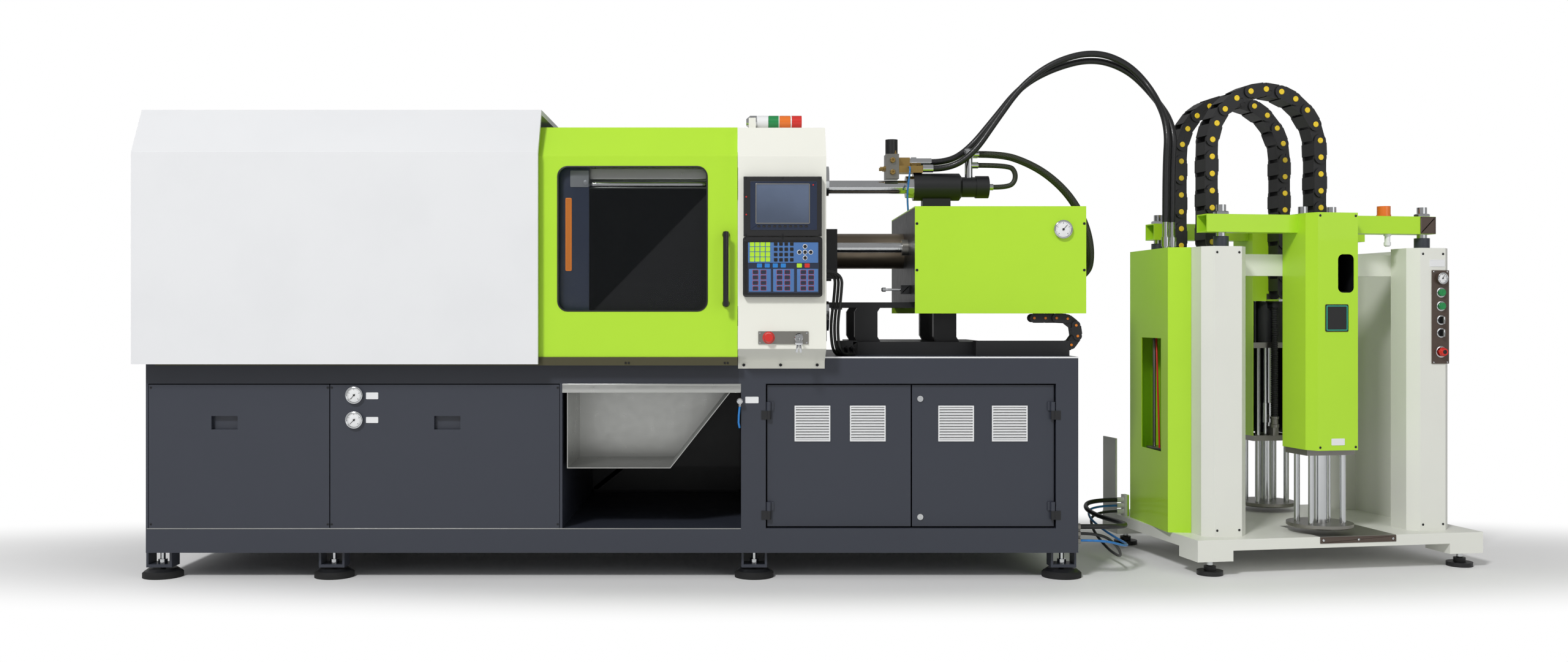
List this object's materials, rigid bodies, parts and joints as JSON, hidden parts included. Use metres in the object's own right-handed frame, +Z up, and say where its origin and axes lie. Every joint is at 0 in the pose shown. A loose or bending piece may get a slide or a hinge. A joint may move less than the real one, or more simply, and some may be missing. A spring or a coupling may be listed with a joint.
{
  "type": "liquid silicone injection moulding machine",
  "caption": "Horizontal injection moulding machine with sliding safety doors, control column, injection carriage and a lift-pump dosing unit joined to it by hoses.",
  "frame": {"origin": "centre of the footprint on the floor, without the hoses and cables", "axes": "+X along the machine towards its dosing unit, +Y from the operator side to the rear, +Z up"},
  "size_m": [5.5332, 1.382, 2.2157],
  "materials": {
    "machine_lime": "gloss paint",
    "machine_slate": "textured paint",
    "guard_grey": "satin paint",
    "column_white": "satin paint",
    "dosing_white": "satin paint",
    "platen_grey": "satin paint",
    "stainless": "brushed",
    "machined_steel": "machined",
    "chrome_rod": "polished",
    "black_steel": "satin",
    "dark_plastic": "fine texture",
    "screen_grey": "fine texture",
    "keypad_blue": "membrane",
    "red_plastic": "gloss",
    "green_plastic": "gloss",
    "window_clear": "clear polycarbonate",
    "pad_rubber": "moulded",
    "hose_black": "smooth",
    "hose_braid": "braided",
    "barrel_steel": "brushed",
    "strip_brown": "satin paint"
  },
  "bodies": {
    "machine": {"base_frame": "machine_slate", "foot_bolts": "machined_steel", "foot_pads": "pad_rubber", "left_front_panel": "machine_slate", "centre_front_panel": "machine_slate", "air_gauges": "dark_plastic", "product_chute": "stainless", "clamp_guard": "guard_grey", "control_column": "column_white", "screen_unit": "screen_grey", "keypad_unit": "keypad_blue", "tail_platen": "platen_grey", "tie_bars": "chrome_rod", "fixed_platen": "platen_grey", "carriage_bed": "black_steel", "carriage_chain": "dark_plastic", "feed_hoses": "hose_black", "floor_cables": "hose_black", "dosing_stand": "dosing_white", "dosing_feet": "black_steel", "dosing_frame": "dosing_white", "control_strip": "strip_brown", "supply_cabinet": "machine_lime", "lift_chain_a": "dark_plastic", "lift_chain_b": "dark_plastic"},
    "front_door": {"front_door": "machine_lime", "front_window": "window_clear", "front_door_handle": "black_steel"},
    "rear_door": {"rear_door": "machine_lime", "rear_window": "window_clear"},
    "moving_platen": {"moving_platen": "platen_grey"},
    "left_cabinet_door": {"left_cabinet_door": "machine_slate"},
    "right_cabinet_door": {"right_cabinet_door": "machine_slate"},
    "upper_cam_lock": {"upper_cam_lock": "black_steel"},
    "lower_cam_lock": {"lower_cam_lock": "black_steel"},
    "emergency_stop": {"emergency_stop_button": "red_plastic"},
    "key_switch": {"key_switch": "machined_steel"},
    "signal_tower": {"signal_tower": "column_white"},
    "injection_unit": {"injection_carriage": "platen_grey", "injection_cover": "machine_lime", "pressure_gauge": "dark_plastic", "barrel": "barrel_steel", "carriage_cylinder": "black_steel", "mixing_block": "machined_steel", "hose_fittings": "machined_steel", "return_hoses": "hose_braid"},
    "screw": {"screw": "chrome_rod"},
    "lift_a": {"lift_beam_a": "machine_lime", "lift_rods_a": "chrome_rod", "pump_hood_a": "machine_lime", "pump_a": "machined_steel"},
    "lift_b": {"lift_beam_b": "machine_lime", "lift_rods_b": "chrome_rod", "pump_hood_b": "machine_lime", "pump_b": "machined_steel"},
    "start_button_1": {"start_button_1": "green_plastic"},
    "start_button_2": {"start_button_2": "green_plastic"},
    "selector_1": {"selector_1": "dark_plastic"},
    "selector_2": {"selector_2": "dark_plastic"},
    "strip_stop": {"strip_stop_knob": "red_plastic"}
  },
  "joints": [
    {"name": "front_door_slide", "type": "slide", "parent": "machine", "child": "front_door", "axis": [-1, 0, 0], "range_m": [0, 0.7]},
    {"name": "rear_door_slide", "type": "slide", "parent": "machine", "child": "rear_door", "axis": [-1, 0, 0], "range_m": [0, 0.7]},
    {"name": "clamp_stroke", "type": "slide", "parent": "machine", "child": "moving_platen", "axis": [1, 0, 0], "range_m": [0, 0.4]},
    {"name": "left_cabinet_hinge", "type": "hinge", "parent": "machine", "child": "left_cabinet_door", "pos_m": [-0.23355, -0.5143, 0.49], "axis": [0, 0, -1], "range_deg": [0, 110]},
    {"name": "right_cabinet_hinge", "type": "hinge", "parent": "machine", "child": "right_cabinet_door", "pos_m": [0.90345, -0.5143, 0.49], "axis": [0, 0, 1], "range_deg": [0, 110]},
    {"name": "upper_lock_turn", "type": "hinge", "parent": "right_cabinet_door", "child": "upper_cam_lock", "pos_m": [0.37345, -0.504, 0.723], "axis": [0, 1, 0], "range_deg": [0, 90]},
    {"name": "lower_lock_turn", "type": "hinge", "parent": "right_cabinet_door", "child": "lower_cam_lock", "pos_m": [0.37345, -0.504, 0.25], "axis": [0, 1, 0], "range_deg": [0, 90]},
    {"name": "emergency_stop_press", "type": "slide", "parent": "machine", "child": "emergency_stop", "axis": [0, 1, 0], "range_m": [0, 0.006], "stiffness_N_per_m": 800},
    {"name": "key_turn", "type": "hinge", "parent": "machine", "child": "key_switch", "pos_m": [-0.11855, -0.628, 0.97], "axis": [0, 1, 0], "range_deg": [0, 90]},
    {"name": "tower_fold", "type": "hinge", "parent": "machine", "child": "signal_tower", "pos_m": [-0.29955, -0.468, 1.835], "axis": [0, -1, 0], "range_deg": [0, 90]},
    {"name": "carriage_stroke", "type": "slide", "parent": "machine", "child": "injection_unit", "axis": [-1, 0, 0], "range_m": [0, 0.25], "deforming": ["feed_hoses", "carriage_chain"]},
    {"name": "injection_stroke", "type": "slide", "parent": "injection_unit", "child": "screw", "axis": [1, 0, 0], "range_m": [0, 0.12]},
    {"name": "lift_a_travel", "type": "slide", "parent": "machine", "child": "lift_a", "axis": [0, 0, 1], "range_m": [0, 0.45], "deforming": ["lift_chain_a"]},
    {"name": "lift_b_travel", "type": "slide", "parent": "machine", "child": "lift_b", "axis": [0, 0, 1], "range_m": [0, 0.45], "deforming": ["lift_chain_b"]},
    {"name": "start_button_1_press", "type": "slide", "parent": "machine", "child": "start_button_1", "axis": [-0.1736, 0.9848, 0], "range_m": [0, 0.004], "stiffness_N_per_m": 400},
    {"name": "start_button_2_press", "type": "slide", "parent": "machine", "child": "start_button_2", "axis": [-0.1736, 0.9848, 0], "range_m": [0, 0.004], "stiffness_N_per_m": 400},
    {"name": "selector_1_turn", "type": "hinge", "parent": "machine", "child": "selector_1", "pos_m": [2.60866, -0.21061, 1.037], "axis": [-0.1736, 0.9848, 0], "range_deg": [-45, 45]},
    {"name": "selector_2_turn", "type": "hinge", "parent": "machine", "child": "selector_2", "pos_m": [2.60866, -0.21061, 0.983], "axis": [-0.1736, 0.9848, 0], "range_deg": [-45, 45]},
    {"name": "strip_stop_press", "type": "slide", "parent": "machine", "child": "strip_stop", "axis": [-0.1736, 0.9848, 0], "range_m": [0, 0.005], "stiffness_N_per_m": 800}
  ]
}
